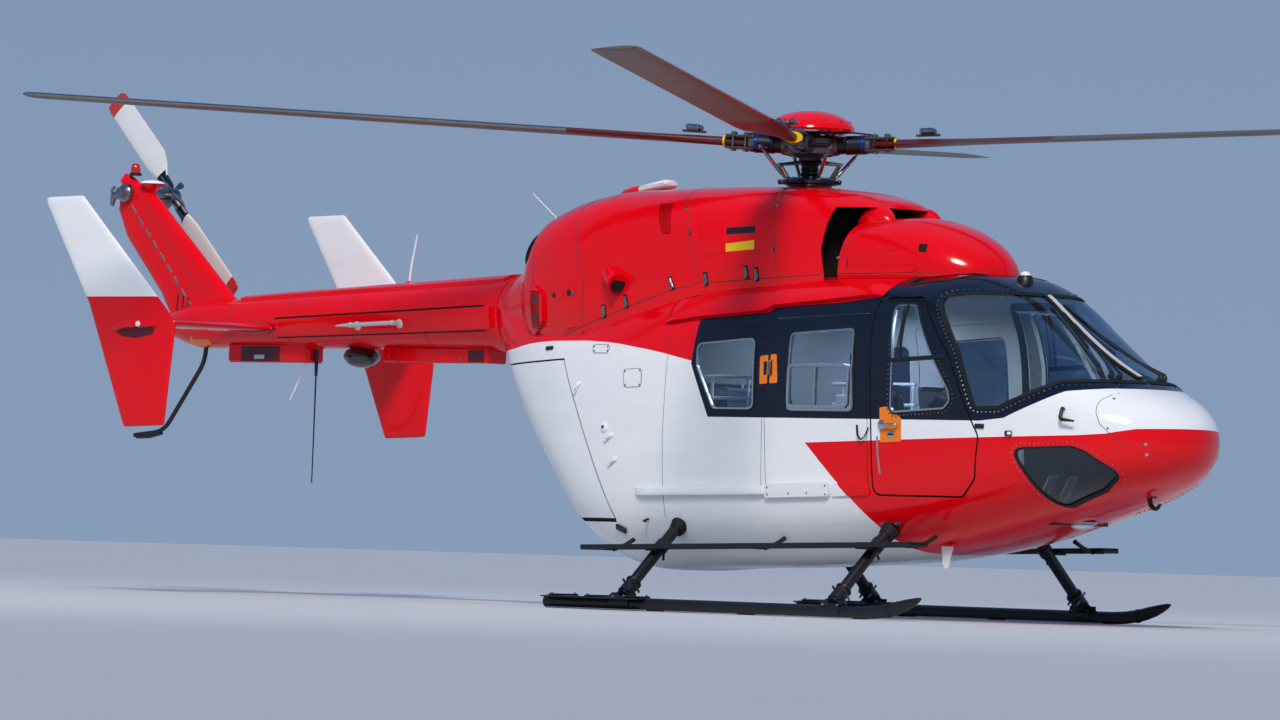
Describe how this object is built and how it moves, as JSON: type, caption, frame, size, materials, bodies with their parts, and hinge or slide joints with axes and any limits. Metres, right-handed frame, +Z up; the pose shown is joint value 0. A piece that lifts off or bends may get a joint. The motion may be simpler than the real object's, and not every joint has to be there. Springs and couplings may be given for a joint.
{
  "type": "light twin-engine utility helicopter",
  "caption": "Skid-geared helicopter with a glazed nose, side and rear doors, a rigid main rotor, and a boom with tailplane, fin and tail rotor.",
  "frame": {"origin": "on the ground below the middle of the whole object's box, with the skids standing at z = 0", "axes": "+X towards the nose, +Y to the port side, +Z up"},
  "size_m": [12.0795, 9.7028, 3.642],
  "materials": {
    "fuselage_paint": "gloss",
    "red_paint": "gloss",
    "black_paint": "satin",
    "glazing": "gloss",
    "floor_panel": "matte",
    "seat_trim": "matte",
    "console_trim": "matte",
    "machine_metal": "satin",
    "exhaust_metal": "matte",
    "blade_paint": "satin",
    "tail_blade_paint": "satin"
  },
  "bodies": {
    "airframe": {"cabin_roof": "fuselage_paint", "cabin_belly": "fuselage_paint", "cabin_nose": "fuselage_paint", "cabin_side_starboard": "fuselage_paint", "cabin_side_port": "fuselage_paint", "cabin_floor": "floor_panel", "windshield_starboard": "glazing", "windshield_port": "glazing", "chin_window_starboard": "glazing", "chin_window_port": "glazing", "aft_window_starboard": "glazing", "aft_window_port": "glazing", "sliding_door_starboard": "fuselage_paint", "sliding_door_port": "fuselage_paint", "sliding_door_window_starboard": "glazing", "sliding_door_window_port": "glazing", "roof_window_starboard": "glazing", "roof_window_port": "glazing", "pilot_seat": "seat_trim", "copilot_seat": "seat_trim", "cabin_bench": "seat_trim", "instrument_panel": "console_trim", "engine_cowling": "red_paint", "forward_cowling": "red_paint", "engine_block": "machine_metal", "main_gearbox": "machine_metal", "exhaust_starboard": "exhaust_metal", "exhaust_port": "exhaust_metal", "tail_boom": "red_paint", "tail_fin": "red_paint", "stabilizer_starboard": "red_paint", "stabilizer_port": "red_paint", "endplate_starboard": "fuselage_paint", "endplate_port": "fuselage_paint", "tail_gearbox": "machine_metal", "tail_bumper": "black_paint", "rear_equipment_box": "red_paint", "front_equipment_box": "red_paint", "skid_starboard": "black_paint", "skid_port": "black_paint", "front_cross_tube": "black_paint", "rear_cross_tube": "black_paint", "step_board_starboard": "black_paint", "step_board_port": "black_paint"},
    "main_rotor": {"rotor_hub": "machine_metal", "rotor_blade_1": "blade_paint", "rotor_blade_2": "blade_paint", "rotor_blade_3": "blade_paint", "rotor_blade_4": "blade_paint", "rotor_cap": "red_paint", "cap_mount": "machine_metal"},
    "tail_rotor": {"tail_rotor": "tail_blade_paint"},
    "crew_door_starboard": {"crew_door_starboard": "fuselage_paint", "crew_door_window_starboard": "glazing"},
    "crew_door_port": {"crew_door_port": "fuselage_paint", "crew_door_window_port": "glazing"},
    "clamshell_door_starboard": {"clamshell_door_starboard": "fuselage_paint"},
    "clamshell_door_port": {"clamshell_door_port": "fuselage_paint"}
  },
  "joints": [
    {"name": "main_rotor_turn", "type": "hinge", "parent": "airframe", "child": "main_rotor", "pos_m": [1.1883, 0, 3.12], "axis": [0, 0, 1], "continuous": true},
    {"name": "tail_rotor_turn", "type": "hinge", "parent": "airframe", "child": "tail_rotor", "pos_m": [-5.3217, 0.33, 2.87], "axis": [0, 1, 0], "continuous": true},
    {"name": "crew_door_starboard_hinge", "type": "hinge", "parent": "airframe", "child": "crew_door_starboard", "pos_m": [3.3943, -0.79, 1], "axis": [0, 0, 1], "range_deg": [0, 80]},
    {"name": "crew_door_port_hinge", "type": "hinge", "parent": "airframe", "child": "crew_door_port", "pos_m": [3.3943, 0.79, 1], "axis": [0, 0, -1], "range_deg": [0, 80]},
    {"name": "clamshell_starboard_hinge", "type": "hinge", "parent": "airframe", "child": "clamshell_door_starboard", "pos_m": [0.1433, -0.76, 0.6], "axis": [-0.4627, 0.0709, 0.8837], "range_deg": [0, 100]},
    {"name": "clamshell_port_hinge", "type": "hinge", "parent": "airframe", "child": "clamshell_door_port", "pos_m": [0.1433, 0.76, 0.6], "axis": [0.4627, 0.0709, -0.8837], "range_deg": [0, 100]}
  ]
}
